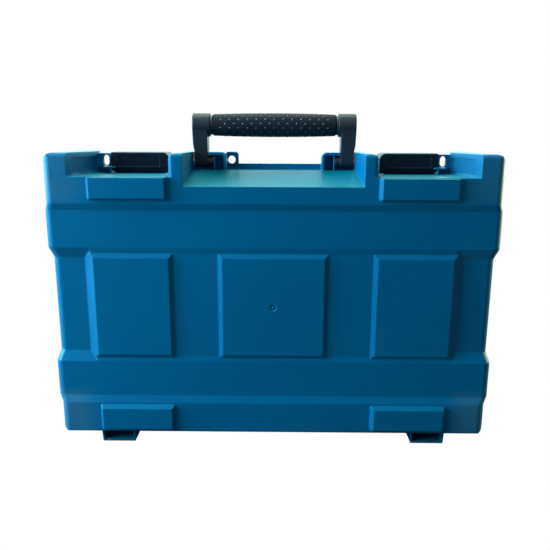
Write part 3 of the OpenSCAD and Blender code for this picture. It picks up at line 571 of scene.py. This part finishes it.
@dataclass
class CarryHandle:
    """The bail handle: arms, core, soft grip, and the raised dots on the grip."""

    arms: list[str] = field(default_factory=lambda: ["handle_arm_left", "handle_arm_right"])
    pins: list[str] = field(default_factory=lambda: ["handle_pin_left", "handle_pin_right"])
    dot_rows: int = 16
    dots_in_row: int = 13
    dot_pitch: float = 8.74 * MM
    dot_radius: float = 0.75 * MM
    dot_height: float = 0.34 * MM
    dot_sink: float = 0.02 * MM
    dot_rings: int = 4
    dot_corners: int = 10
    skin_drop: float = 0.32 * MM
    first_row_angle: float = -16.3
    bulge: float = 1.1 * MM

    def build_dots(self) -> bpy.types.Object:
        """Builds every dot on the grip as one mesh.

        A dot is a low dome: over a small disc, its height falls with the square of the
        distance from its middle. The disc is laid on the grip's own surface, whose radius
        grows by a parabola towards the middle of the grip. The rows stand round the grip,
        and every other row has one dot fewer and is set off by half a pitch. The grip's
        skin is first drawn in a little, so that the tops of the dots end where the plain
        sleeve ended.

        Returns:
            The dots, riding on the handle.
        """
        low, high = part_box("handle_grip")
        centre = (low + high) / 2
        half_l = (high.x - low.x) / 2
        end_r = (high.z - low.z) / 2 - self.bulge - self.skin_drop
        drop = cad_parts["handle_grip"].modifiers.new("skin_drop", "DISPLACE")
        drop.mid_level = 0.0
        drop.strength = -self.skin_drop

        n = self.dot_corners
        rings = np.linspace(0.0, 1.0, self.dot_rings + 1)[1:]
        turns = np.linspace(0, 2 * np.pi, n, endpoint=False)
        flat_u = np.concatenate([[0.0], np.outer(rings, np.cos(turns)).ravel()]) * self.dot_radius
        flat_v = np.concatenate([[0.0], np.outer(rings, np.sin(turns)).ravel()]) * self.dot_radius
        rise = np.concatenate([[1.0], np.repeat(1 - rings**2, n)]) * self.dot_height
        k = np.arange(n)
        after = (k + 1) % n
        fan = np.stack([np.zeros(n, int), 1 + k, 1 + after], 1)
        start = 1 + n * np.arange(self.dot_rings - 1)[:, None]
        bands = np.stack([start + k, start + n + k, start + n + after, start + after], 2)

        rows = np.arange(self.dot_rows)
        angles = np.radians(self.first_row_angle + rows * 360.0 / self.dot_rows)
        spots = [
            (a, (i - (self.dots_in_row - 1 - r % 2) / 2) * self.dot_pitch)
            for r, a in enumerate(angles)
            for i in range(self.dots_in_row - r % 2)
        ]
        angle = np.array([s[0] for s in spots])[:, None]
        along = np.array([s[1] for s in spots])[:, None]
        x = along + flat_u
        radius = end_r + self.bulge * (1 - (x / half_l) ** 2) - self.dot_sink + rise
        turn = angle + flat_v / end_r
        points = np.stack(
            [
                centre.x + x,
                centre.y - radius * np.cos(turn),
                centre.z + radius * np.sin(turn),
            ],
            -1,
        ).reshape(-1, 3)
        first = (np.arange(len(spots)) * len(rise))[:, None, None]
        caps = (fan + first).reshape(-1, 3)
        belts = (bands.reshape(-1, 4) + first).reshape(-1, 4)
        made = new_mesh("grip_dots", points, caps, belts)
        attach(made, "handle")
        log.info("built %s with %d dots", made.name, len(spots))
        return made

    def dress(self, steel: bpy.types.Material) -> None:
        """Gives every piece of the handle its finish.

        Args:
            steel: the pins' material.
        """
        arm = MouldedPlastic(
            "arm_moulding",
            colour=srgb(30, 40, 54),
            cloud=srgb(36, 46, 60),
            # colour of the scuffs and of the painted edge highlight
            wear_and_edge_highlight=srgb(84, 98, 114),
            roughness=0.46,
            grain_per_m=1900.0,
            grain_depth=0.00006,
            edge_radius=0.001,
            scuffs=0.15,
            shine=0.25,
        )
        core = MouldedPlastic(
            "core_moulding",
            colour=srgb(58, 68, 82),
            cloud=srgb(66, 76, 90),
            # colour of the scuffs and of the painted edge highlight
            wear_and_edge_highlight=srgb(120, 130, 142),
            roughness=0.4,
            edge_radius=0.0004,
        )
        rubber = SoftRubber("grip_rubber", srgb(24, 34, 48), srgb(50, 60, 74)).make()
        tips = SoftRubber("dot_rubber", srgb(40, 50, 62), srgb(84, 92, 102), 0.26, 1.0)
        paint(self.arms, arm.make())
        paint(["handle_core"], core.make())
        paint(["handle_grip"], rubber)
        paint(self.pins, steel)
        dots = self.build_dots()
        dots.data.materials.append(tips.make())


@dataclass
class Hinges:
    """The two pins that the lid swings on."""

    pins: list[str] = field(default_factory=lambda: ["hinge_pin_left", "hinge_pin_right"])

    def dress(self, steel: bpy.types.Material) -> None:
        """Gives the pins their steel.

        Args:
            steel: the pins' material.
        """
        paint(self.pins, steel)


@dataclass
class Inside:
    """What is inside the case: tray, bin cover, dividers, screws, and the lid's foam."""

    tray: str = "base_tray"
    screws: str = "tray_screws"
    foam: str = "lid_foam"
    black: list[str] = field(default_factory=lambda: ["bin_cover", "bin_dividers", "foam_clips"])

    def dress(self, steel: bpy.types.Material) -> None:
        """Gives every inner piece its finish.

        Args:
            steel: the screws' material.
        """
        paint([self.tray], FormedSheet("tray_sheet", srgb(46, 50, 54)).make())
        black = MouldedPlastic(
            "black_moulding",
            colour=srgb(26, 29, 33),
            cloud=srgb(32, 35, 39),
            # colour of the scuffs and of the painted edge highlight
            wear_and_edge_highlight=srgb(90, 95, 100),
            edge_radius=0.0006,
        )
        paint(self.black, black.make())
        paint([self.screws], steel)
        foam = OpenFoam("grey_foam", srgb(92, 96, 100), srgb(30, 32, 34))
        paint([self.foam], foam.make())


@dataclass(frozen=True)
class Lamp:
    """One soft rectangular lamp: place and aim in metres, power in watts."""

    name: str
    at: Point
    aim: Point
    size: tuple[float, float]
    power: float
    tint: Colour = WHITE


@dataclass
class Studio:
    """Camera, lamps, floor and the white room. Places are in metres."""

    image_px: float = 550.0
    focal_px: float = 600.0
    pitch_deg: float = 13.0
    yaw_deg: float = 0.45
    roll_deg: float = 0.25
    eye: Point = (0.0061, -0.6134, 0.3081)
    sensor_mm: float = 36.0
    ambient: float = 0.02
    ambient_tint: Colour = (0.8, 0.95, 1.0)
    floor_half: float = 4.0
    floor_drop: float = 0.2 * MM
    lamps: tuple[Lamp, ...] = (
        Lamp("key", (-1.1, -0.35, 0.58), (0.0, -0.05, 0.16), (1.0, 0.5), 18.6, (0.7, 0.97, 1.0)),
        Lamp("left_wall", (-1.3, 0.02, 0.5), (0.0, 0.0, 0.2), (0.9, 0.7), 24.5, (0.35, 0.96, 1.0)),
        Lamp("over_front", (-0.1, -0.6, 1.4), (0.0, 0.0, 0.17), (1.0, 0.6), 2.9, (0.9, 1.0, 0.85)),
        Lamp("back_panel", (0.0, 1.8, 0.75), (0.0, 0.0, 0.3), (2.4, 1.0), 24.0, (0.48, 0.9, 1.0)),
        Lamp("overhead", (-0.1, 0.35, 1.4), (0.0, 0.0, 0.2), (1.0, 0.8), 16.0, (0.8, 1.0, 0.75)),
        Lamp("right_rim", (1.3, 0.5, 0.4), (0.0, 0.0, 0.17), (0.8, 0.6), 18.0, (1.0, 1.0, 0.5)),
    )

    def camera(self) -> None:
        """Sets the camera up at the photograph's place and angle."""
        data = bpy.data.cameras.new("camera")
        data.sensor_width = self.sensor_mm
        data.lens = self.focal_px / self.image_px * self.sensor_mm
        data.clip_start = 0.01
        made = bpy.data.objects.new("camera", data)
        tilt = Matrix.Rotation(math.radians(90 - self.pitch_deg), 4, "X")
        roll = Matrix.Rotation(math.radians(self.roll_deg), 4, "Z")
        yaw = Matrix.Rotation(math.radians(self.yaw_deg), 4, "Z")
        made.matrix_world = Matrix.Translation(self.eye) @ yaw @ tilt @ roll
        bpy.context.scene.collection.objects.link(made)
        bpy.context.scene.camera = made

    def hang(self, lamp: Lamp) -> None:
        """Adds one lamp to the scene.

        Args:
            lamp: the lamp's place, size and light.
        """
        data = bpy.data.lights.new(lamp.name, "AREA")
        data.shape = "RECTANGLE"
        data.size, data.size_y = lamp.size
        data.energy = lamp.power
        data.color = lamp.tint
        made = bpy.data.objects.new(lamp.name, data)
        made.location = lamp.at
        way = Vector(lamp.aim) - Vector(lamp.at)
        made.rotation_euler = way.to_track_quat("-Z", "Y").to_euler()
        made.visible_camera = False
        bpy.context.scene.collection.objects.link(made)

    def room(self) -> None:
        """Makes the world white to the camera and in reflections, and dim as a light."""
        world = bpy.data.worlds.new("room")
        bpy.context.scene.world = world
        g = Graph(world, "ShaderNodeOutputWorld")
        dim = g.node(
            "ShaderNodeBackground",
            inputs={"Color": (*self.ambient_tint, 1.0), "Strength": self.ambient},
        )
        white = g.node("ShaderNodeBackground", inputs={"Color": (*WHITE, 1.0)})
        camera, glossy, clear = (
            g.node("ShaderNodeLightPath", output=f"Is {kind} Ray")
            for kind in ("Camera", "Glossy", "Transmission")
        )
        seen = (camera + glossy + clear).clipped()
        g.close(g.node("ShaderNodeMixShader", inputs={0: seen, 1: dim, 2: white}))

    def floor(self) -> None:
        """Lays the plain pale floor.

        Light that bounces off the floor has its pale tone. The camera and the lamps' direct
        light pass through it to the white room, so that a lid that swings under the level
        of the feet still shows.
        """
        corners = np.array([[-1, -1], [1, -1], [1, 1], [-1, 1]]) * self.floor_half
        points = np.column_stack([corners, np.full(len(corners), -self.floor_drop)])
        made = new_mesh("floor", points, np.array([[0, 1, 2, 3]]))
        g = new_graph("pale_floor")
        tone = g.noise(g.place(), 3.0).above(0.2, 0.8)
        cloth = g.node(
            "ShaderNodeBsdfDiffuse",
            inputs={"Color": g.mix(tone, (0.12, 0.12, 0.12), (0.14, 0.14, 0.14))},
        )
        open_air = g.node("ShaderNodeBsdfTransparent", inputs={"Color": (*WHITE, 1.0)})
        camera, lamp = (
            g.node("ShaderNodeLightPath", output=f"Is {kind} Ray") for kind in ("Camera", "Shadow")
        )
        through = (camera + lamp).clipped()
        g.close(g.node("ShaderNodeMixShader", inputs={0: through, 1: cloth, 2: open_air}))
        made.data.materials.append(g.owner)

    def build(self) -> None:
        """Builds the whole studio."""
        self.camera()
        self.room()
        self.floor()
        for lamp in self.lamps:
            self.hang(lamp)
        bpy.context.scene.view_settings.view_transform = "Standard"


def main() -> None:
    """Builds the sub-assemblies in order."""
    logging.basicConfig(level=logging.INFO, format="%(message)s")
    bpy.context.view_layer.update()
    Studio().build()
    steel = DrawnSteel("drawn_steel").make()
    Shells().dress()
    Latches().dress(steel)
    CarryHandle().dress(steel)
    Hinges().dress(steel)
    Inside().dress(steel)


if __name__ == "__main__":
    main()
